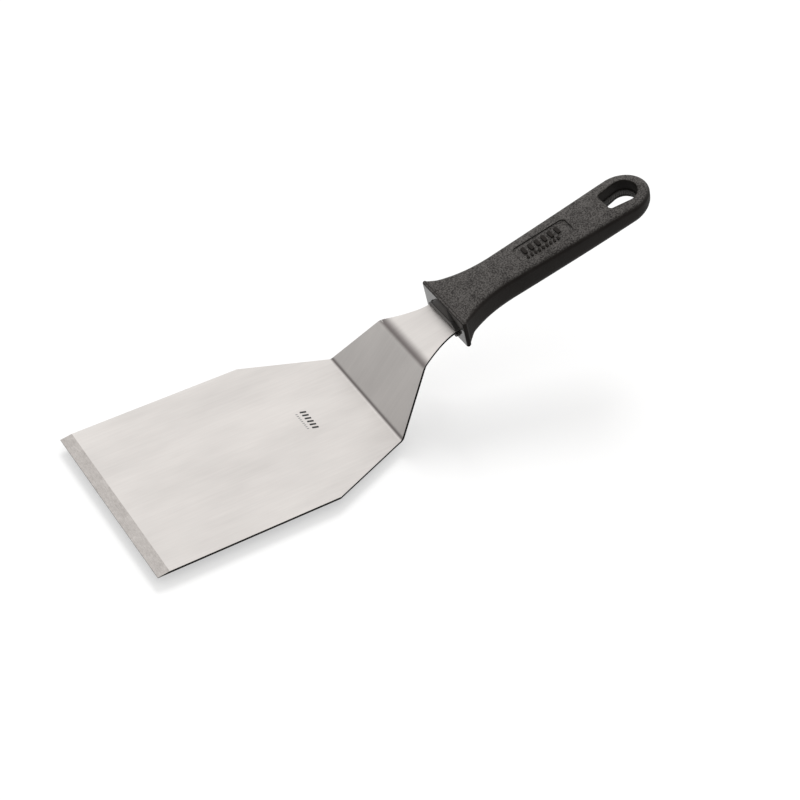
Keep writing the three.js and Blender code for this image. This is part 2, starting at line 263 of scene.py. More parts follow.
def makeSheetTree(bend, materials):
    names = ["Length", "Thickness", "Blade Half Width", "Taper Start", "Ground Length", "Edge Thickness",
             "First Start", "First Radius", "First Angle", "First Half Width", "First Middle",
             "Second Start", "Second Radius", "Second Angle", "Second Half Width", "Second Middle",
             "Neck End", "Neck Half Width", "Neck Curve", "Shoulder", "Narrowed", "Tang Half Width",
             "Pin Front", "Pin Pitch", "Pin Hole Radius"]
    inputs = [(name, number, 1.0) for name in names]
    inputs += [("Steps Along", "NodeSocketInt", 100), ("Steps Across", "NodeSocketInt", 8)]
    tree, source, target = newGroup("foldedSheet", "GeometryNodeTree", inputs, [("Geometry", geometry)])
    tree.is_modifier = True
    size = vector(tree, source["Length"], 2.0, source["Thickness"])
    blank = nodeOut(tree, "GeometryNodeMeshCube", {
        "Size": size, "Vertices X": source["Steps Along"], "Vertices Y": source["Steps Across"],
        "Vertices Z": 2,
    })
    place = nodeOut(tree, "GeometryNodeInputPosition")
    rawX, rawY, rawZ = addNode(tree, "ShaderNodeSeparateXYZ", {0: place}).outputs
    fromFront = calc(tree, "MULTIPLY_ADD", source["Length"], 0.5, rawX)

    # the row of points nearest the end of the ground strip moves onto it, so that its edge is crisp
    halfStep = calc(tree, "DIVIDE", source["Length"], calc(tree, "MULTIPLY", source["Steps Along"], 1.9))
    near = calc(tree, "COMPARE", fromFront, source["Ground Length"], halfStep)
    toStrip = calc(tree, "MULTIPLY", near, calc(tree, "SUBTRACT", source["Ground Length"], fromFront))
    x = calc(tree, "ADD", fromFront, toStrip)

    def ramp(start, end, low, high):
        return remap(tree, x, start, end, low, high)

    halfWidth = ramp(source["Taper Start"], source["First Middle"],
                     source["Blade Half Width"], source["First Half Width"])
    toSecond = calc(tree, "SUBTRACT", source["First Half Width"], source["Second Half Width"])
    riser = ramp(source["First Middle"], source["Second Middle"], 0.0, toSecond)
    toNeck = calc(tree, "SUBTRACT", source["Second Half Width"], source["Neck Half Width"])
    nearing = ramp(source["Second Middle"], source["Neck End"], 1.0, 0.0)
    left = calc(tree, "POWER", nearing, source["Neck Curve"])
    neck = calc(tree, "MULTIPLY", toNeck, calc(tree, "SUBTRACT", 1.0, left))
    toTang = calc(tree, "SUBTRACT", source["Neck Half Width"], source["Tang Half Width"])
    tang = ramp(source["Shoulder"], source["Narrowed"], 0.0, toTang)
    for step in (riser, neck, tang):
        halfWidth = calc(tree, "SUBTRACT", halfWidth, step)

    # ground strip: the upper face drops to the thin front edge
    top = calc(tree, "SUBTRACT", rawZ, calc(tree, "MULTIPLY", source["Thickness"], 0.5))
    thinned = calc(tree, "SUBTRACT", source["Edge Thickness"], source["Thickness"])
    ground = ramp(0.0, source["Ground Length"], thinned, 0.0)
    z = calc(tree, "MINIMUM", top, ground)
    y = calc(tree, "MULTIPLY", rawY, halfWidth)
    shaped = vector(tree, x, y, z)
    outlined = nodeOut(tree, "GeometryNodeSetPosition", {"Geometry": blank, "Position": shaped})

    # rivet holes in the tang
    pitch = vector(tree, source["Pin Pitch"])
    first = vector(tree, source["Pin Front"])
    centres = nodeOut(tree, "GeometryNodeMeshLine", {"Count": 2, "Start Location": first, "Offset": pitch})
    drill = nodeOut(tree, "GeometryNodeMeshCylinder",
                    {"Vertices": 32, "Radius": source["Pin Hole Radius"], "Depth": 9.0})
    drills = nodeOut(tree, "GeometryNodeInstanceOnPoints", {"Points": centres, "Instance": drill})
    solidDrills = nodeOut(tree, "GeometryNodeRealizeInstances", {0: drills})
    drilled = nodeOut(tree, "GeometryNodeMeshBoolean", {"Mesh 1": outlined, "Mesh 2": solidDrills},
                      operation="DIFFERENCE", solver="EXACT")

    # finishes are chosen on the flat blank: all over, then the ground strip, then the cut edges
    flatPlace = nodeOut(tree, "GeometryNodeInputPosition")
    flatX = nodeOut(tree, "ShaderNodeSeparateXYZ", {0: flatPlace})
    normal = nodeOut(tree, "GeometryNodeInputNormal")
    normalZ = addNode(tree, "ShaderNodeSeparateXYZ", {0: normal}).outputs[2]
    facingUp = calc(tree, "GREATER_THAN", normalZ, 0.6)
    onStrip = calc(tree, "MULTIPLY", calc(tree, "LESS_THAN", flatX, source["Ground Length"]), facingUp)
    onEdge = calc(tree, "LESS_THAN", calc(tree, "ABSOLUTE", normalZ), 0.5)
    finished = drilled
    for selection, material in zip((True, onStrip, onEdge), materials):
        finished = nodeOut(tree, "GeometryNodeSetMaterial", {
            "Geometry": finished, "Selection": selection, "Material": material})

    # how much the metal is darkened near each fold: painted dark reflection
    def reflectionBand(middle, before, crest, after):
        away = calc(tree, "SUBTRACT", flatX, middle)
        return calc(tree, "MINIMUM", *[
            remap(tree, away, start, crest, curve="SMOOTHSTEP") for start in (before, after)])

    paintedReflection = calc(tree, "MAXIMUM", reflectionBand(source["First Middle"], *sheet["firstBand"]),
                 reflectionBand(source["Second Middle"], *sheet["secondBand"]))
    withReflection = nodeOut(tree, "GeometryNodeStoreNamedAttribute", {
        "Geometry": finished, "Name": "foldTone", "Value": paintedReflection}, data_type="FLOAT", domain="POINT")
    smooth = nodeOut(tree, "GeometryNodeSetShadeSmooth", {0: withReflection})
    folded = smooth
    for fold, direction in (("Second", -1.0), ("First", 1.0)):
        values = {size: source[fold + " " + size] for size in ("Start", "Radius", "Angle")}
        folded = useGroup(tree, bend, {"Geometry": folded, "Direction": direction, **values})[0]
    real = nodeOut(tree, "GeometryNodeRealizeInstances", {0: folded})
    tree.links.new(real, target["Geometry"])
    return tree


# the sheet's own sizes under their names in the tree, and lengths along the flat blank from its front edge
def blankLengths(s):
    firstAngle = atan2(s["foldRise"], s["foldRun"])
    secondAngle = firstAngle - s["neckAngle"]
    firstSetback = s["firstRadius"] * tan(firstAngle / 2)
    secondSetback = s["secondRadius"] * tan(secondAngle / 2)
    firstStart = s["firstFold"] - firstSetback
    firstArc = s["firstRadius"] * firstAngle
    riser = hypot(s["foldRun"], s["foldRise"]) - firstSetback - secondSetback
    secondStart = firstStart + firstArc + riser
    secondArc = s["secondRadius"] * secondAngle
    neckOrigin = secondStart + secondArc - secondSetback
    computed = {
        "Length": neckOrigin + s["tangEnd"],
        "First Start": firstStart, "First Angle": firstAngle, "First Middle": firstStart + firstArc / 2,
        "Second Start": secondStart, "Second Angle": secondAngle,
        "Second Middle": secondStart + secondArc / 2,
        "Neck End": neckOrigin + s["neckLength"], "Shoulder": neckOrigin + s["shoulder"],
        "Narrowed": neckOrigin + s["narrowed"],
        "Pin Front": neckOrigin + s["pinHoles"][0], "Pin Pitch": s["pinHoles"][1] - s["pinHoles"][0],
    }
    given = {"".join(" " + c if c.isupper() else c for c in key).title(): s[key] for key in s}
    return {**given, **computed}


handlePlace = Matrix.Diagonal((millimetre, millimetre, millimetre, 1))
handlePlace @= Matrix.Translation((
    bladeFront + sheet["firstFold"] + sheet["foldRun"], 0, sheet["foldRise"] + sheet["thickness"]))
handlePlace @= Matrix.Rotation(-sheet["neckAngle"], 4, "Y")
bladePlace = Matrix.Diagonal((millimetre, millimetre, millimetre, 1))
bladePlace @= Matrix.Translation((bladeFront, 0, sheet["thickness"]))


# edges between two finishes, or sharper than the angle, are shaded hard
def shadeBy(piece, angle):
    mesh = piece.data
    mesh.polygons.foreach_set("use_smooth", [True] * len(mesh.polygons))
    mesh.set_sharp_from_angle(angle=angle)
    faces = {}
    for polygon in mesh.polygons:
        for key in polygon.edge_keys:
            faces.setdefault(key, []).append(polygon.material_index)
    for edge in mesh.edges:
        if len(set(faces.get(edge.key, ()))) > 1:
            edge.use_edge_sharp = True


def bevelEdges(piece, width, angle, segments=2):
    bevel = piece.modifiers.new("softEdges", "BEVEL")
    bevel.width = width * millimetre
    bevel.segments = segments
    bevel.limit_method = "ANGLE"
    bevel.angle_limit = angle
    bevel.harden_normals = True


def makeSheet(materials):
    tree = makeSheetTree(makeBendGroup(), materials)
    piece = growMesh("blade_sheet", tree, blankLengths(sheet))
    piece.data.transform(bladePlace)
    shadeBy(piece, radians(30))
    bevelEdges(piece, sheet["cutEdgeBevel"], radians(50))
    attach(piece, "root")
    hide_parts("blade")
    return piece


# Handle: moulded grip

grip = {
    "mouth": 28.4,
    "butt": 164.2,
    "waistHalfWidth": 11.7,
    "buttHalfWidth": 15.1,
    "buttRound": 17,
    "flareEnd": 66,
    "flareExtra": 9,
    "flarePower": 2.3,
    "tipRadius": 1.6,
    "tipInset": 0.4,
    "topProfile": ((28.4, 10.8), (66, 10.7), (115, 10.5), (145, 10.6), (164.2, 10)),
    "underProfile": ((28.4, -8.4), (66, -8.3), (115, -6.5), (150, -4.4), (164.2, -3.6)),
    "mouthEdge": 0.8,         # edge radii at the mouth, then along the upper and under edges
    "topEdge": 3.2,
    "underEdge": 7.5,
    "crown": 0.9,
    "tipTurn": 0.62 * pi,     # how far the tip is rounded, and where the side takes over from it
    "sideAfter": 1.5,
    "sideSpacing": 1.15,      # above 1 the steps are closer at the mouth
    "mouthFade": 9,           # edges and crown grow to their full size over this length
    "topFace": (0.55, 0.95),  # how far up a face looks where the coarse grain and the lighter top colour start and are full; below, the sides get painted shade
    "tipSteps": 10,
    "sideSteps": 110,
    "buttSteps": 36,
    "edgeSteps": 9,
    "acrossSteps": 16,
}

boss = {
    "reach": 1.7,             # how far its foot stands forward of the mouth, then its upper edge
    "topReach": 0.2,
    "halfWidth": 9.9,         # at the foot, then at the upper face
    "topHalfWidth": 5.0,
    "crest": 1.3,             # radius of the rounding into the upper face
    "side": 1.4,              # radius of the rounding down each side
    "root": 3,                # how far back into the handle it starts
    "overlap": 0.6,           # how far its foot runs down into the core's room before that is cut
    "crestInset": 1.2,        # its upper edge meets the handle this far back, and this far below
    "crestDrop": 0.02,
    "levels": 12,
    "turnSteps": 6,
}
panel = {
    "from": 78, "to": 112.5, "halfWidth": 5.75, "depth": 0.75, "corner": 2.6, "lip": 0.18,
    "floorRound": ((0, 0.3), (0.1, 0.12), (0.3, 0)),   # share of the depth from the floor, and inset
}
hole = {
    "from": 136, "to": 157.2, "frontHalfWidth": 6.4, "halfWidth": 7.9, "corner": 2,
    "upperLip": 0.6, "lowerLip": 2.8,
    "step": 0.7,              # the core's ring stands in from the wall by this much
    "arcSteps": 44,
}
lip = {"steps": 6, "turn": radians(78), "clear": 0.5}
cornerSteps = 8
toolReach = 40


def heightCurve(points):
    xs, zs = np.array(points, float).T
    padX = np.concatenate((xs[:1], xs, xs[-1:]))
    padZ = np.concatenate((zs[:1], zs, zs[-1:]))
    t = np.linspace(0, 1, 24)
    rows = []
    for i in range(len(xs) - 1):
        pair = []
        for values in (padX, padZ):
            a, b, c, d = values[i:i + 4]
            pair.append(b + 0.5 * t * (c - a + t * (2 * a - 5 * b + 4 * c - d + t * (3 * (b - c) + d - a))))
        rows.append(np.array(pair))
    curve = np.concatenate(rows, axis=1)
    return lambda x: float(np.interp(x, curve[0], curve[1]))


gripTop = heightCurve(grip["topProfile"])
gripUnder = heightCurve(grip["underProfile"])


def gripHalfWidth(x):
    g = grip
    share = max(0, (x - g["flareEnd"]) / (g["butt"] - g["flareEnd"]))
    left = max(0, (g["flareEnd"] - x) / (g["flareEnd"] - g["mouth"]))
    width = between(g["waistHalfWidth"], g["buttHalfWidth"], share)
    return width + g["flareExtra"] * left ** g["flarePower"]


# one side of the handle seen from above: round the tip at the mouth, along the side, round the butt
def gripOutline():
    g = grip
    tipY = gripHalfWidth(g["mouth"]) - g["tipRadius"] - g["tipInset"]
    points = []
    for i in range(g["tipSteps"] + 1):
        a = g["tipTurn"] * i / g["tipSteps"]
        points.append((g["mouth"] + g["tipRadius"] * (1 - cos(a)), tipY + g["tipRadius"] * sin(a)))
    arcCentre = g["butt"] - g["buttRound"]
    sideStart = g["mouth"] + g["sideAfter"] * g["tipRadius"]
    for i in range(1, g["sideSteps"] + 1):
        x = between(sideStart, arcCentre, (i / g["sideSteps"]) ** g["sideSpacing"])
        points.append((x, gripHalfWidth(x)))
    arcHalfWidth = gripHalfWidth(arcCentre)
    for i in range(1, g["buttSteps"] + 1):
        a = pi / 2 * i / g["buttSteps"]
        points.append((arcCentre + g["buttRound"] * sin(a), arcHalfWidth * cos(a)))
    result = []
    for i, (x, y) in enumerate(points):
        before, after = points[max(0, i - 1)], points[min(len(points) - 1, i + 1)]
        across, along = before[1] - after[1], after[0] - before[0]
        length = hypot(across, along)
        out = (across / length, along / length)
        if i == 0:
            out = (-1, 0)
        if i == len(points) - 1:
            out = (1, 0)
        result.append((x, y, out, smoothShare(x, g["mouth"], g["mouth"] + g["mouthFade"])))
    return result


# one half of the section, from the middle of the under face round to the upper edge
def gripSide(x, y, out, rounded):
    g = grip
    points = []
    for upper in (False, True):
        radius = between(g["mouthEdge"], g["topEdge"] if upper else g["underEdge"], rounded)
        for i in range(g["edgeSteps"] + 1):
            a = pi / 2 * i / g["edgeSteps"]
            inset, rise = (1 - cos(a), 1 - sin(a)) if upper else (1 - sin(a), 1 - cos(a))
            px = x - out[0] * radius * inset
            py = max(0.1, y - out[1] * radius * inset)
            pz = gripTop(px) - radius * rise if upper else gripUnder(px) + radius * rise
            points.append((px, py, pz))
    return points


def makeGripBody():
    rings = []
    for x, y, out, rounded in gripOutline():
        side = gripSide(x, y, out, rounded)
        edgeX, edgeY, edgeZ = side[-1]
        crown = grip["crown"] * rounded * smoothShare(edgeY, 0, grip["waistHalfWidth"])
        top, under = [], []
        for i in range(1, grip["acrossSteps"]):
            t = 1 - 2 * i / grip["acrossSteps"]
            top.append((edgeX, edgeY * t, edgeZ + crown * (1 - t * t)))
            under.append((side[0][0], -side[0][1] * t, side[0][2]))
        mirrored = [(px, -py, pz) for px, py, pz in reversed(side)]
        half = len(under) // 2
        rings.append(under[half:] + side + top + mirrored + under[:half])
    return stack("grip_shell", rings, strips=True)


# the boss above the core: narrow at the upper face, wider and further forward at its foot
def makeBoss(surface):
    foot = core["collar"]["top"] + core["gap"] - boss["overlap"]
    crest = surface(grip["mouth"] + boss["crestInset"], 0) - boss["crestDrop"]
    rings = []
    for i in range(boss["levels"] + 1):
        share = i / boss["levels"]
        z = between(foot, crest, share)
        halfWidth = between(boss["halfWidth"], boss["topHalfWidth"], share)
        over = max(0, z - (crest - boss["crest"]))
        pulled = boss["crest"] - sqrt(max(0, boss["crest"] ** 2 - over ** 2))
        frontX = grip["mouth"] - between(boss["reach"], boss["topReach"], share) + pulled
        rootX = grip["mouth"] + boss["root"]
        ring = [(rootX, halfWidth, z), (rootX, -halfWidth, z)]
        for sign in (-1, 1):
            turn = []
            for k in range(boss["turnSteps"] + 1):
                a = pi / 2 * k / boss["turnSteps"]
                turn.append((frontX + boss["side"] * (1 - sin(a)),
                             sign * (halfWidth - boss["side"] * (1 - cos(a))), z))
            ring += turn if sign < 0 else turn[::-1]
        rings.append(ring)
    return stack("boss", rings)


# hang hole seen from above: square at the front, widening to half a circle at the butt
def holeOutline(inset):
    halfWidth, frontHalfWidth = hole["halfWidth"] - inset, hole["frontHalfWidth"] - inset
    front, centre = hole["from"] + inset, hole["to"] - hole["halfWidth"]
    corner = hole["corner"] - inset
    widening = asin((halfWidth - frontHalfWidth) / (centre - front))
    return [
        *arc(centre, 0, halfWidth, -pi / 2 - widening, pi / 2 + widening, hole["arcSteps"]),
        *arc(front + corner, frontHalfWidth - corner, corner, pi / 2 + widening, pi, cornerSteps),
        *arc(front + corner, corner - frontHalfWidth, corner, pi, 3 * pi / 2 - widening, cornerSteps),
    ]


def panelOutline(inset):
    radius = panel["corner"]
    side = panel["halfWidth"] - radius
    front, back = panel["from"] + radius, panel["to"] - radius
    points = []
    for quarter, (x, y) in enumerate(((back, side), (front, side), (front, -side), (back, -side))):
        points += arc(x, y, radius - inset, pi / 2 * quarter, pi / 2 * (quarter + 1), cornerSteps)
    return points


# a cutter whose mouth opens out in a round lip where it meets the surface
def lipRings(outline, surface, radius, sign):
    rings = []
    for i in range(lip["steps"] + 1):
        a = lip["turn"] * i / lip["steps"]
        depth, spread = radius * (1 - sin(a)), radius * (1 - cos(a))
        rings.append([(x, y, surface(x, y) - sign * depth) for x, y in outline(-spread)])
    flared = outline(-radius * (1 - cos(lip["turn"])))
    rings.append([(x, y, surface(x, y) + sign * lip["clear"]) for x, y in flared])
    rings.append([(x, y, sign * toolReach) for x, y in flared])
    return rings


def makeHoleCutter(above, below):
    upper = lipRings(holeOutline, above, hole["upperLip"], 1)
    lower = lipRings(holeOutline, below, hole["lowerLip"], -1)
    return stack("holeCutter", list(reversed(lower)) + upper)


def makePanelCutter(above):
    cutter = []
    for share, inset in panel["floorRound"]:
        depth = panel["depth"] * (1 - share)
        cutter.append([(x, y, above(x, y) - depth) for x, y in panelOutline(inset)])
    return stack("panelCutter", cutter + lipRings(panelOutline, above, panel["lip"], 1))


# Core: clamps the tang; its front shows at the mouth and its ring inside the hang hole

core = {
    "gap": 0.3,
    "ringGap": 0.04,
    "collar": {"front": 26.5, "back": 37, "halfWidth": 13.4, "topHalfWidth": 10.2, "top": 4.6, "under": -5},
    "body": {"front": 46, "back": 114, "halfWidth": 6.9, "topHalfWidth": 6.4, "top": 7.2, "under": -4.4},
    "chamfer": 1.5,           # along the lower corners, then the height where the sides lean in
    "leanFrom": 0.8,
    "armUnder": 0.4,
    "armTop": 3.4,
    "ringWidth": 3.2,
    "armOverlap": 6,
    "armNarrowing": 3,
    "pinRadius": 2,
    "pins": (58, 96),
    "softEdge": 0.28,
    "ringSteps": 40,
}


def coreSection(x, part, extra):
    wide, narrow = part["halfWidth"] + extra, part["topHalfWidth"] + extra
    low, chamfer = part["under"] - extra, core["chamfer"]
    left = [(x, wide - chamfer, low), (x, wide, low + chamfer), (x, wide, core["leanFrom"]),
            (x, narrow, part["top"] + extra)]
    return left + [(px, -py, pz) for px, py, pz in reversed(left)]


def makeCoreBlock(name, extra, frontExtra=0.0):
    collar, body = core["collar"], core["body"]
    return stack(name, [
        coreSection(collar["front"] - frontExtra, collar, extra),
        coreSection(collar["back"], collar, extra),
        coreSection(body["front"], body, extra),
        coreSection(body["back"] + extra, body, extra),
    ], strips=True)


# the arm runs back from the core and ends in a ring round the hang hole
def makeArm(name, extra):
    halfWidth = hole["halfWidth"] - hole["step"] + core["ringWidth"] + extra
    centre = hole["to"] - hole["halfWidth"]
    rootX, ringX = core["body"]["back"] - core["armOverlap"], hole["from"] - core["armOverlap"]
    rootY = halfWidth - core["armNarrowing"]
    outline = [(rootX, rootY), (rootX, -rootY), (ringX, -halfWidth),
               *arc(centre, 0, halfWidth, -pi / 2, pi / 2, core["ringSteps"]), (ringX, halfWidth)]
    return prism(name, outline, core["armUnder"] - extra, core["armTop"] + extra)


def makeBox(name, low, high):
    outline = [(low[0], low[1]), (high[0], low[1]), (high[0], high[1]), (low[0], high[1])]
    return prism(name, outline, low[2], high[2])


def makeCoreHalf(name, upper):
    gap, collar = core["gap"], core["collar"]
    piece = makeCoreBlock(name, 0)
    low, wide = -sheet["thickness"] - gap, collar["halfWidth"] + 2
    tangWidth = sheet["tangHalfWidth"] + gap
    narrowed, tangEnd = sheet["narrowed"], sheet["tangEnd"] + gap
    neckRoom = makeBox("neckRoom", (collar["front"] - 1, -wide, low), (narrowed + 1, wide, gap))
    combine(piece, neckRoom, "DIFFERENCE")
    tangRoom = makeBox("tangRoom", (narrowed, -tangWidth, low), (tangEnd, tangWidth, gap))
    combine(piece, tangRoom, "DIFFERENCE")
    for along in core["pins"]:
        radius = core["pinRadius"] + gap
        circle = [(along + radius * cos(a), radius * sin(a)) for a in (2 * pi * i / 32 for i in range(32))]
        combine(piece, prism("pinRoom", circle, -toolReach, toolReach), "DIFFERENCE")
    split = -sheet["thickness"] / 2
    floor, ceiling = (split + gap / 2, toolReach) if upper else (-toolReach, split - gap / 2)
    half = makeBox("splitHalf", (0, -toolReach, floor), (grip["butt"], toolReach, ceiling))
    combine(piece, half, "INTERSECT")
    if upper:
        combine(piece, makeArm("arm", 0), "UNION")
        ringRoom = prism("ringRoom", holeOutline(hole["step"]), -toolReach, toolReach)
        combine(piece, ringRoom, "DIFFERENCE")
    return piece


def finishCore(piece, node, material):
    piece.data.materials.clear()
    piece.data.materials.append(material)
    piece.data.transform(handlePlace)
    shadeBy(piece, radians(30))
    bevelEdges(piece, core["softEdge"], radians(40), segments=3)
    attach(piece, "root")
    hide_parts(node)


# materials: grained outside, polished mouth face, smooth front of the boss
def makeGrip(materials):
    piece = makeGripBody()
    shape = bmesh.new()
    shape.from_mesh(piece.data)
    tree = BVHTree.FromBMesh(shape)
    shape.free()

    def above(x, y):
        found = tree.ray_cast(Vector((x, y, toolReach)), Vector((0, 0, -1)))[0]
        return found.z if found else gripTop(x)

    def below(x, y):
        found = tree.ray_cast(Vector((x, y, -toolReach)), Vector((0, 0, 1)))[0]
        return found.z if found else gripUnder(x)

    combine(piece, makeBoss(above), "UNION")
    combine(piece, makeCoreBlock("coreRoom", core["gap"], boss["reach"]), "DIFFERENCE")
    combine(piece, makeArm("armRoom", core["ringGap"]), "DIFFERENCE")
    combine(piece, makeHoleCutter(above, below), "DIFFERENCE")
    combine(piece, makePanelCutter(above), "DIFFERENCE")
    mesh = piece.data
    mesh.materials.clear()
    for material in materials:
        mesh.materials.append(material)
    finishMouth(mesh)
    markTopFace(mesh)
    mesh.transform(handlePlace)
    shadeBy(piece, radians(32))
    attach(piece, "root")
    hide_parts("grip")
    return above


mouth = {"facing": 0.9, "slack": 0.15, "bossAhead": 0.05}


def atMouth(face, centre):
    return face.normal.x < -mouth["facing"] and abs(centre.x - grip["mouth"]) < mouth["slack"]


# the mouth face is polished, except beside the boss on its minus-Y side above the collar, which takes the
# darker plain black as a painted dark reflection; the boss is plain black
def finishMouth(mesh):
    shape = bmesh.new()
    shape.from_mesh(mesh)
    flats = [face for face in shape.faces if atMouth(face, face.calc_center_median())]
    edges = {edge for face in flats for edge in face.edges}
    corners = {corner for face in flats for corner in face.verts}
    bmesh.ops.bisect_plane(shape, geom=[*flats, *edges, *corners], dist=0.0001,
                           plane_co=(0, 0, core["collar"]["top"]), plane_no=(0, 0, 1))
    for face in shape.faces:
        centre = face.calc_center_median()
        if atMouth(face, centre):
            # painted dark reflection: this part of the mouth face gets the plain black
            worn = centre.y < 0 and centre.z > core["collar"]["top"]
            face.material_index = 2 if worn else 1
        else:
            face.material_index = 2 if centre.x < grip["mouth"] - mouth["bossAhead"] else 0
    shape.to_mesh(mesh)
    shape.free()


# 1 on the upper face, falling to 0 round its edges: the mould is coarser there, and the sides below it get
# a darker colour as painted shade
def markTopFace(mesh):
    attribute = mesh.attributes.new("coarseGrainAndTopLight", "FLOAT", "POINT")
    values = [smoothShare(vertex.normal.z, *grip["topFace"]) for vertex in mesh.vertices]
    attribute.data.foreach_set("value", values)


# Marks: rows of slanted bars, raised in the panel and printed on the blade

def paintInstances(tree, source, target, instances):
    real = nodeOut(tree, "GeometryNodeRealizeInstances", {0: instances})
    painted = nodeOut(tree, "GeometryNodeSetMaterial", {"Geometry": real, "Material": source["Material"]})
    tree.links.new(painted, target["Geometry"])
    return tree


# a row of round-ended bars that lean, with a flat base, along X
def makeBarRowTree():
    sizes = ("Pitch", "Bar Width", "Bar Height", "Round", "Raise", "Lean")
    inputs = [("Count", "NodeSocketInt", 5), *[(name, number, 1.0) for name in sizes],
              ("Material", "NodeSocketMaterial", None)]
    tree, source, target = newGroup("barRow", "GeometryNodeTree", inputs, [("Geometry", geometry)])
    tree.is_modifier = True
    outline = nodeOut(tree, "GeometryNodeCurvePrimitiveQuadrilateral",
                      {"Width": source["Bar Width"], "Height": source["Bar Height"]})
    fillet = nodeOut(tree, "GeometryNodeFilletCurve",
                     {"Curve": outline, "Radius": source["Round"], "Count": 4}, mode="POLY")
    flat = nodeOut(tree, "GeometryNodeFillCurve", {"Curve": fillet}, mode="NGONS")
    down = vector(tree, z=calc(tree, "MULTIPLY", source["Raise"], -1.0))
    lifted = nodeOut(tree, "GeometryNodeExtrudeMesh",
                     {"Mesh": flat, "Offset": down, "Offset Scale": 1.0, "Individual": False})
    lid = addNode(tree, "GeometryNodeJoinGeometry")
    tree.links.new(lifted, lid.inputs[0])
    turned = nodeOut(tree, "GeometryNodeFlipFaces", {0: flat})
    tree.links.new(turned, lid.inputs[0])
    closed = nodeOut(tree, "GeometryNodeMergeByDistance", {"Geometry": lid.outputs[0], "Distance": 0.001})
    span = calc(tree, "MULTIPLY", source["Pitch"], calc(tree, "SUBTRACT", source["Count"], 1.0))
    start = vector(tree, calc(tree, "MULTIPLY", span, -0.5))
    step = vector(tree, source["Pitch"])
    points = nodeOut(tree, "GeometryNodeMeshLine",
                     {"Count": source["Count"], "Start Location": start, "Offset": step})
    lean = vector(tree, z=calc(tree, "MULTIPLY", source["Lean"], -1.0))
    bars = nodeOut(tree, "GeometryNodeInstanceOnPoints",
                   {"Points": points, "Instance": closed, "Rotation": lean})
    return paintInstances(tree, source, target, bars)


def barRow(count, pitch, width, height, rounding, raised, lean):
    return {"Count": count, "Pitch": pitch, "Bar Width": width, "Bar Height": height, "Round": rounding,
            "Raise": raised, "Lean": lean}


panelMarks = {
    "rows": (barRow(6, 4.4, 2.2, 4.8, 0.6, 0.9, 0.0), barRow(9, 2.5, 1.3, 2.2, 0.5, 0.9, 0.0)),
    "places": ((94.2, 0.9), (92.4, -4.1)),
    "sunk": 0.05,             # their tops below the upper face of the handle
    "rooted": 0.1,            # their feet below the panel's floor
    "softEdge": 0.14,
}

bladeMarks = {
    "rows": (barRow(6, 2.6, 1.25, 3.6, 0.3, 0.03, 0.3), barRow(9, 1.5, 0.55, 1.2, 0.2, 0.03, 0.3)),
    "places": ((120.4, 1.6), (116.4, 2.2)),
    "proud": 0.02,            # their tops above the blade
}


def makePanelMarks(tree, above, material):
    for index, (row, (x, y)) in enumerate(zip(panelMarks["rows"], panelMarks["places"])):
        piece = growMesh("panel_marks_" + str(index + 1), tree, {**row, "Material": material})
        for vertex in piece.data.vertices:
            vx, vy = vertex.co.x + x, vertex.co.y + y
            raised = vertex.co.z > -0.5 * row["Raise"]
            depth = panelMarks["sunk"] if raised else panel["depth"] + panelMarks["rooted"]
            vertex.co = (vx, vy, above(vx, vy) - depth)
        piece.data.transform(handlePlace)
        shadeBy(piece, radians(35))
        bevelEdges(piece, panelMarks["softEdge"], radians(40))
        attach(piece, "root")


def makeBladeMarks(tree, materials):
    for index, (row, (x, y)) in enumerate(zip(bladeMarks["rows"], bladeMarks["places"])):
        piece = growMesh("blade_mark_" + str(index + 1), tree, {**row, "Material": materials[index]})
        piece.data.transform(Matrix.Rotation(-pi / 2, 4, "Z"))
        piece.data.transform(bladePlace @ Matrix.Translation((x, y, bladeMarks["proud"])))
        shadeBy(piece, radians(35))
        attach(piece, "root")


# Ribs on the ring inside the hang hole

ribs = {"Count": 44, "Radius": 0.36, "Height": 2.7}


def makeRibTree():
    inputs = [("Wall", "NodeSocketObject", None), ("Count", "NodeSocketInt", 20), ("Radius", number, 0.3),
              ("Height", number, 2.0), ("Material", "NodeSocketMaterial", None)]
    tree, source, target = newGroup("wallRibs", "GeometryNodeTree", inputs, [("Geometry", geometry)])
    tree.is_modifier = True
    wall = addNode(tree, "GeometryNodeObjectInfo", {"Object": source["Wall"]}).outputs["Geometry"]
    loop = nodeOut(tree, "GeometryNodeMeshToCurve", {"Mesh": wall})
    points = nodeOut(tree, "GeometryNodeResampleCurve", {"Curve": loop, "Count": source["Count"]})
    rib = nodeOut(tree, "GeometryNodeMeshCylinder",
                  {"Vertices": 10, "Radius": source["Radius"], "Depth": source["Height"]})
    stood = nodeOut(tree, "GeometryNodeInstanceOnPoints", {"Points": points, "Instance": rib})
    return paintInstances(tree, source, target, stood)


def makeRibs(material):
    outline = holeOutline(hole["step"])
    height = (core["armUnder"] + core["armTop"]) / 2
    mesh = bpy.data.meshes.new("ringWall")
    edges = [(i, (i + 1) % len(outline)) for i in range(len(outline))]
    mesh.from_pydata([(x, y, height) for x, y in outline], edges, [])
    wall = newObject("ringWall", mesh)
    values = {"Wall": wall, "Count": ribs["Count"], "Radius": ribs["Radius"], "Height": ribs["Height"],
              "Material": material}
    piece = growMesh("ring_ribs", makeRibTree(), values)
    bpy.data.objects.remove(wall)
    piece.data.transform(handlePlace)
    shadeBy(piece, radians(40))
    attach(piece, "root")


# Finishes

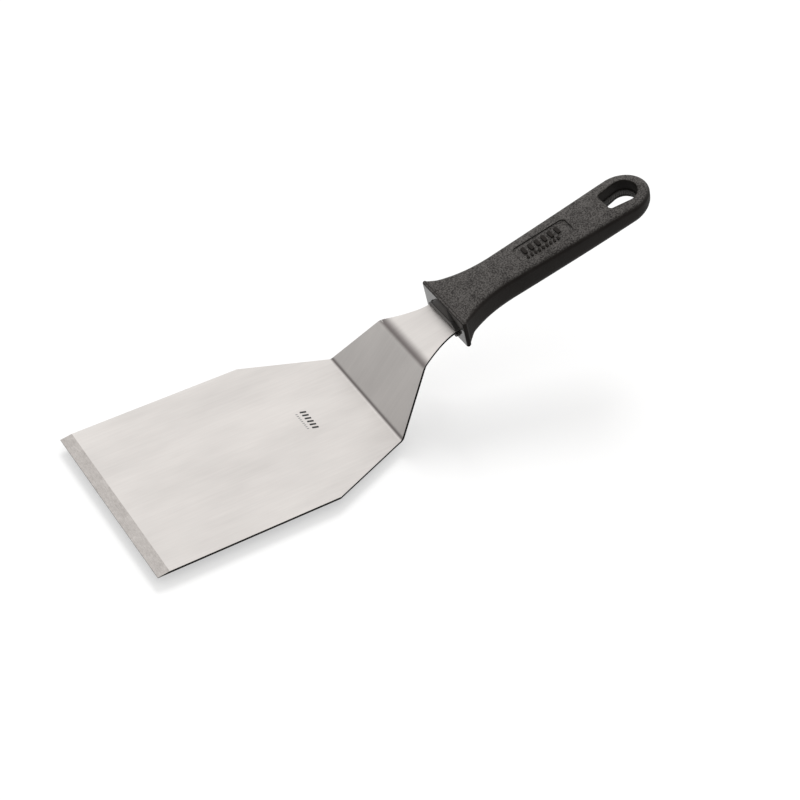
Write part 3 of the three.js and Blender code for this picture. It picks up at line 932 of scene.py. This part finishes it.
# speckle and height of a spark-eroded or ground surface; Size is the grain's size in metres
def makeFineGrain():
    group, source, target = newGroup(
        "fineGrain", "ShaderNodeTree",
        [("Coordinates", "NodeSocketVector", None), ("Size", number, 0.0004), ("Clumping", number, 0.5)],
        [("Speckle", number), ("Height", number)])
    scale = calc(group, "DIVIDE", 1.0, source["Size"])
    fine = noise(group, source["Coordinates"], scale, 2.0, 0.6)
    pits = addNode(group, "ShaderNodeTexVoronoi",
                   {"Vector": source["Coordinates"], "Scale": calc(group, "MULTIPLY", scale, 0.8)},
                   feature="SMOOTH_F1").outputs["Distance"]
    clumps = noise(group, source["Coordinates"], calc(group, "MULTIPLY", scale, 0.12), 3.0)
    mixed = nodeOut(group, "ShaderNodeMix", {0: source["Clumping"], 2: fine, 3: clumps})
    group.links.new(mixed, target["Speckle"])
    group.links.new(calc(group, "MULTIPLY_ADD", pits, 0.6, fine), target["Height"])
    return group


# lines drawn out along the sheet, and soft patches where the brush bit more or less
def makeBrushedLines():
    group, source, target = newGroup(
        "brushedLines", "ShaderNodeTree",
        [("Coordinates", "NodeSocketVector", None), ("Stretch", "NodeSocketVector", (1, 40, 1)),
         ("Line Scale", number, 60.0), ("Patch Scale", number, 20.0)],
        [("Lines", number), ("Patches", number), ("Height", number)])
    drawn = nodeOut(group, "ShaderNodeVectorMath", {0: source["Coordinates"], 1: source["Stretch"]},
                    operation="MULTIPLY")
    lines = noise(group, drawn, source["Line Scale"], 4.0, 0.7)
    scratches = noise(group, drawn, calc(group, "MULTIPLY", source["Line Scale"], 3.1), 2.0)
    half = nodeOut(group, "ShaderNodeVectorMath", {0: source["Coordinates"], 1: (1.0, 2.6, 1.0)},
                   operation="MULTIPLY")
    patches = noise(group, half, source["Patch Scale"], 3.0, 0.55)
    group.links.new(lines, target["Lines"])
    group.links.new(patches, target["Patches"])
    group.links.new(calc(group, "MULTIPLY_ADD", scratches, 0.5, lines), target["Height"])
    return group


# rubbed edges: where the surface turns sharply outwards, broken up by a little noise
def makeEdgeWear():
    group, source, target = newGroup(
        "edgeWear", "ShaderNodeTree",
        [("Coordinates", "NodeSocketVector", None), ("Start", number, 0.52), ("Width", number, 0.06)],
        [("Mask", number)])
    turning = addNode(group, "ShaderNodeNewGeometry").outputs["Pointiness"]
    rough = noise(group, source["Coordinates"], 900.0, 3.0)
    end = calc(group, "ADD", source["Start"], source["Width"])
    edge = remap(group, turning, source["Start"], end)
    group.links.new(calc(group, "MULTIPLY", edge, rough), target["Mask"])
    return group


# a little settled dust and handling haze, in soft blotches
def makeHaze():
    group, source, target = newGroup(
        "handlingHaze", "ShaderNodeTree",
        [("Coordinates", "NodeSocketVector", None), ("Scale", number, 60.0)], [("Mask", number)])
    blotches = noise(group, source["Coordinates"], source["Scale"], 5.0, 0.65)
    mask = remap(group, blotches, 0.42, 0.72)
    group.links.new(mask, target["Mask"])
    return group


fineGrain, brushedLines = makeFineGrain(), makeBrushedLines()
edgeWear, handlingHaze = makeEdgeWear(), makeHaze()


def newMaterial(name, **constants):
    material = bpy.data.materials.new(name)
    material.use_nodes = True
    tree = material.node_tree
    shader = next(node for node in tree.nodes if node.type == "BSDF_PRINCIPLED")
    for label, value in constants.items():
        shader.inputs[label.replace("_", " ")].default_value = value
    coordinates = addNode(tree, "ShaderNodeTexCoord").outputs["Object"]
    return material, tree, shader, coordinates


# a shared finish group: its values in the order of its inputs, after the coordinates
def layer(tree, group, coordinates, *values):
    return useGroup(tree, group, dict(enumerate((coordinates, *values))))


def blendColours(tree, factor, first, second):
    return addNode(tree, "ShaderNodeMix", {0: factor, 6: first, 7: second}, data_type="RGBA").outputs[2]


def spread(tree, value, low, high, fromLow=0.3, fromHigh=0.7):
    return remap(tree, value, fromLow, fromHigh, low, high)


def addBump(tree, shader, height, strength, distance):
    bump = addNode(tree, "ShaderNodeBump", {"Strength": strength, "Distance": distance, "Height": height})
    tree.links.new(bump.outputs[0], shader.inputs["Normal"])


brushed = {
    "dark": (0.59, 0.565, 0.55, 1), "light": (0.71, 0.68, 0.66, 1),
    "roughest": 0.42, "smoothest": 0.34, "relief": 0.000012,
    # the colour and share of the painted dark reflection along the folds
    "foldTone": (0.10, 0.084, 0.083, 1), "reflectionShare": 0.85,
}


def makeBrushedSteel(name, look, stretch, lineScale):
    material, tree, shader, coordinates = newMaterial(name, Metallic=1.0)
    lines, patches, height = layer(tree, brushedLines, coordinates, stretch, lineScale, 14.0)
    wear = layer(tree, edgeWear, coordinates, 0.53)[0]
    tone = calc(tree, "MULTIPLY_ADD", lines, 0.25, calc(tree, "MULTIPLY", patches, 0.75))
    clean = blendColours(tree, spread(tree, tone, 0.0, 1.0), look["dark"], look["light"])
    # the sheet's stored share of the painted dark reflection along its folds
    folded = addNode(tree, "ShaderNodeAttribute", attribute_name="foldTone").outputs["Fac"]
    base = blendColours(tree, calc(tree, "MULTIPLY", folded, look["reflectionShare"]), clean, look["foldTone"])
    colour = blendColours(tree, wear, base, (0.85, 0.84, 0.82, 1))
    plug(tree, shader.inputs["Base Color"], colour)
    plug(tree, shader.inputs["Roughness"], spread(tree, lines, look["roughest"], look["smoothest"]))
    addBump(tree, shader, height, 0.35, look["relief"])
    return material


ground = {"dark": (0.36, 0.335, 0.32, 1), "light": (0.62, 0.59, 0.57, 1)}


def makeGroundSteel():
    material, tree, shader, coordinates = newMaterial("groundSteel", Metallic=1.0)
    lines, _, height = layer(tree, brushedLines, coordinates, (6.0, 1.0, 1.0), 420.0, 90.0)
    speckle = layer(tree, fineGrain, coordinates, 0.0009, 0.5)[0]
    tone = calc(tree, "MULTIPLY_ADD", lines, 0.5, calc(tree, "MULTIPLY", speckle, 0.5))
    colour = blendColours(tree, spread(tree, tone, 0.0, 1.0), ground["dark"], ground["light"])
    plug(tree, shader.inputs["Base Color"], colour)
    plug(tree, shader.inputs["Roughness"], spread(tree, lines, 0.5, 0.36))
    addBump(tree, shader, height, 0.5, 0.00003)
    return material


# near-black cut edges: partly a darker sheared finish, mostly painted shade and dark reflection
cutEdge = {"dark": (0.012, 0.011, 0.010, 1), "light": (0.05, 0.047, 0.045, 1)}


def makeCutEdge():
    material, tree, shader, coordinates = newMaterial("cutEdgeSteel", Metallic=1.0)
    lines, patches, height = layer(tree, brushedLines, coordinates, (1.0, 1.0, 14.0), 300.0, 120.0)
    colour = blendColours(tree, spread(tree, lines, 0.0, 1.0), cutEdge["dark"], cutEdge["light"])
    plug(tree, shader.inputs["Base Color"], colour)
    plug(tree, shader.inputs["Roughness"], spread(tree, patches, 0.55, 0.4))
    addBump(tree, shader, height, 0.5, 0.00004)
    return material


# side is the colour of the handle's sides, darkened as painted shade; dark and light are the grain on its
# upper face
plastic = {
    "dark": (0.014, 0.012, 0.011, 1), "light": (0.06, 0.053, 0.048, 1), "side": (0.0115, 0.009, 0.0075, 1),
    "worn": (0.09, 0.083, 0.077, 1), "haze": (0.07, 0.063, 0.057, 1),
}


def makeGrainedBlack():
    material, tree, shader, coordinates = newMaterial(
        "grainedBlack", IOR=1.5, Specular_IOR_Level=0.14, Coat_Roughness=0.56, Coat_IOR=1.58)
    coarseAndTopLight = addNode(tree, "ShaderNodeAttribute", attribute_name="coarseGrainAndTopLight").outputs["Fac"]
    speckle, height = layer(tree, fineGrain, coordinates, 0.0008, 0.2)
    wear = layer(tree, edgeWear, coordinates, 0.54)[0]
    haze = layer(tree, handlingHaze, coordinates, 70.0)[0]
    top = blendColours(tree, spread(tree, speckle, 0.0, 1.0, 0.4, 0.6), plastic["dark"], plastic["light"])
    # painted shade: the sides take the darker side colour, the upper face its grain
    body = blendColours(tree, coarseAndTopLight, plastic["side"], top)
    hazed = blendColours(tree, calc(tree, "MULTIPLY", haze, 0.12), body, plastic["haze"])
    colour = blendColours(tree, calc(tree, "MULTIPLY", wear, 0.5), hazed, plastic["worn"])
    plug(tree, shader.inputs["Base Color"], colour)
    glint = calc(tree, "MULTIPLY", spread(tree, speckle, 0.15, 1.0, 0.4, 0.6), coarseAndTopLight)
    plug(tree, shader.inputs["Coat Weight"], glint)
    smoother = spread(tree, coarseAndTopLight, 0.42, 0.6, 0.0, 1.0)
    plug(tree, shader.inputs["Roughness"], calc(tree, "MULTIPLY_ADD", haze, 0.06, smoother))
    relief = calc(tree, "MULTIPLY", height, spread(tree, coarseAndTopLight, 0.35, 1.0, 0.0, 1.0))
    addBump(tree, shader, relief, 0.6, 0.0003)
    return material


def makeSmoothBlack(name, base, roughness, **constants):
    material, tree, shader, coordinates = newMaterial(name, **constants)
    speckle, height = layer(tree, fineGrain, coordinates, 0.0003, 0.5)
    haze = layer(tree, handlingHaze, coordinates, 120.0)[0]
    wear = layer(tree, edgeWear, coordinates, 0.53)[0]
    hazed = blendColours(tree, calc(tree, "MULTIPLY", haze, 0.2), base, plastic["haze"])
    colour = blendColours(tree, calc(tree, "MULTIPLY", wear, 0.6), hazed, plastic["worn"])
    plug(tree, shader.inputs["Base Color"], colour)
    plug(tree, shader.inputs["Roughness"], spread(tree, speckle, roughness - 0.05, roughness + 0.06))
    addBump(tree, shader, height, 0.2, 0.00003)
    return material


def makeInk(name, dark, light):
    material, tree, shader, coordinates = newMaterial(name, IOR=1.45)
    speckle, height = layer(tree, fineGrain, coordinates, 0.0002, 0.4)
    plug(tree, shader.inputs["Base Color"], blendColours(tree, speckle, dark, light))
    plug(tree, shader.inputs["Roughness"], spread(tree, speckle, 0.5, 0.65))
    addBump(tree, shader, height, 0.3, 0.00001)
    return material


# Build

brushedSteel = makeBrushedSteel("brushedSteel", brushed, (1.0, 26.0, 1.0), 28.0)
makeSheet([brushedSteel, makeGroundSteel(), makeCutEdge()])
print("sheet folded")

grainedBlack = makeGrainedBlack()
smoothBlack = makeSmoothBlack("smoothBlack", (0.024, 0.022, 0.020, 1), 0.4)
polishedBlack = makeSmoothBlack("polishedMouth", (0.05, 0.047, 0.043, 1), 0.16, IOR=1.9,
                                Coat_Weight=1.0, Coat_Roughness=0.08, Coat_IOR=2.4)
above = makeGrip([grainedBlack, polishedBlack, smoothBlack])
print("grip moulded")

finishCore(makeCoreHalf("core_upper_half", True), "core_upper", smoothBlack)
finishCore(makeCoreHalf("core_lower_half", False), "core_lower", smoothBlack)
# the ribs take a lighter copy of the core's black: painted highlight round the ring inside the hang hole
makeRibs(makeSmoothBlack("ribHighlightBlack", (0.085, 0.078, 0.072, 1), 0.3))
print("core halves and ring ribs made")

barTree = makeBarRowTree()
makePanelMarks(barTree, above, grainedBlack)
makeBladeMarks(barTree, [makeInk("printedBlack", (0.012, 0.012, 0.012, 1), (0.03, 0.03, 0.03, 1)),
                         makeInk("printedGrey", (0.16, 0.16, 0.16, 1), (0.25, 0.25, 0.25, 1))])
print("marks placed")

pinSteel = makeBrushedSteel("pinSteel", brushed, (1.0, 1.0, 20.0), 60.0)
for pinName in ("tang_pin_front", "tang_pin_rear"):
    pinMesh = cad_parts[pinName].data
    pinMesh.materials.clear()
    pinMesh.materials.append(pinSteel)
print("pins finished")


# Studio

studio = {
    "floorSize": 8.0,
    "floorDrop": 5,           # the blade is held this far above the floor
    "floorSeen": 0.45,        # what the camera sees of the pale floor, and the glow added to it
    "floorGlow": 0.5,
    "floorBounce": 0.42,      # what the spatula gets back from it
    "skyAxis": (0.42, 0.6, 0.68),
    "skySpread": (-0.45, 0.95),
    "skyLow": 0.3,
    "skyHigh": 1.16,
    "keyAzimuth": radians(55),
    "keyElevation": radians(42),
    "keyStrength": 1.85,
    "keySoftness": radians(22),
}


def makeFloor():
    shape = bmesh.new()
    bmesh.ops.create_grid(shape, x_segments=2, y_segments=2, size=studio["floorSize"] / 2)
    mesh = toMesh(shape, "floor")
    floor = newObject("floor", mesh)
    floor.location.z = -studio["floorDrop"] * millimetre
    material = bpy.data.materials.new("paleFloor")
    material.use_nodes = True
    tree = material.node_tree
    tree.nodes.clear()
    matt = nodeOut(tree, "ShaderNodeBsdfDiffuse", {"Color": (*[studio["floorSeen"]] * 3, 1)})
    glow = nodeOut(tree, "ShaderNodeEmission", {"Strength": studio["floorGlow"]})
    seen = nodeOut(tree, "ShaderNodeAddShader", {0: matt, 1: glow})
    bounce = nodeOut(tree, "ShaderNodeBsdfDiffuse", {"Color": (*[studio["floorBounce"]] * 3, 1)})
    direct = addNode(tree, "ShaderNodeLightPath").outputs["Is Camera Ray"]
    mixed = nodeOut(tree, "ShaderNodeMixShader", {0: direct, 1: bounce, 2: seen})
    addNode(tree, "ShaderNodeOutputMaterial", {"Surface": mixed})
    mesh.materials.append(material)


# a soft box of sky, brightest high behind the handle and dim behind the camera
def makeSky():
    world = bpy.data.worlds.new("studio")
    bpy.context.scene.world = world
    world.use_nodes = True
    tree = world.node_tree
    tree.nodes.clear()
    direction = addNode(tree, "ShaderNodeTexCoord").outputs["Generated"]
    axis = Vector(studio["skyAxis"]).normalized()
    product = addNode(tree, "ShaderNodeVectorMath", {0: direction, 1: axis}, operation="DOT_PRODUCT")
    light = remap(tree, product.outputs["Value"], *studio["skySpread"],
                  studio["skyLow"], studio["skyHigh"], curve="SMOOTHSTEP")
    direct = addNode(tree, "ShaderNodeLightPath").outputs["Is Camera Ray"]
    strength = nodeOut(tree, "ShaderNodeMix", {0: direct, 2: light, 3: 1.0})
    colour = (1, 0.995, 0.985, 1)
    background = nodeOut(tree, "ShaderNodeBackground", {"Color": colour, "Strength": strength})
    addNode(tree, "ShaderNodeOutputWorld", {"Surface": background})


def makeKeyLight():
    lamp = bpy.data.lights.new("key", "SUN")
    lamp.energy = studio["keyStrength"]
    lamp.angle = studio["keySoftness"]
    light = bpy.data.objects.new("key", lamp)
    azimuth, elevation = studio["keyAzimuth"], studio["keyElevation"]
    towards = Vector((cos(elevation) * cos(azimuth), cos(elevation) * sin(azimuth), sin(elevation)))
    light.rotation_mode = "QUATERNION"
    light.rotation_quaternion = towards.to_track_quat("Z", "Y")
    light.visible_glossy = False
    bpy.context.scene.collection.objects.link(light)


view = {
    "azimuth": radians(-35.242),
    "elevation": radians(44.297),
    "roll": radians(3.712),
    "distance": 0.99139,
    "aim": Vector((-0.02312, -0.04783, 0.04663)),
    "lens": 87.62,
}


def makeCamera():
    azimuth, elevation, roll = view["azimuth"], view["elevation"], view["roll"]
    back = Vector((sin(azimuth) * cos(elevation), -cos(azimuth) * cos(elevation), sin(elevation)))
    level = Vector((0, 0, 1)).cross(back).normalized()
    upright = back.cross(level)
    right = level * cos(roll) + upright * sin(roll)
    up = back.cross(right)
    data = bpy.data.cameras.new("camera")
    data.lens = view["lens"]
    data.sensor_width = 36
    data.clip_start, data.clip_end = 0.05, 50
    camera = bpy.data.objects.new("camera", data)
    turn = Matrix((right, up, back)).transposed().to_4x4()
    camera.matrix_world = Matrix.Translation(view["aim"] + back * view["distance"]) @ turn
    bpy.context.scene.collection.objects.link(camera)
    bpy.context.scene.camera = camera


makeFloor()
makeSky()
makeKeyLight()
makeCamera()
bpy.context.scene.view_settings.view_transform = "Standard"
print("studio set")
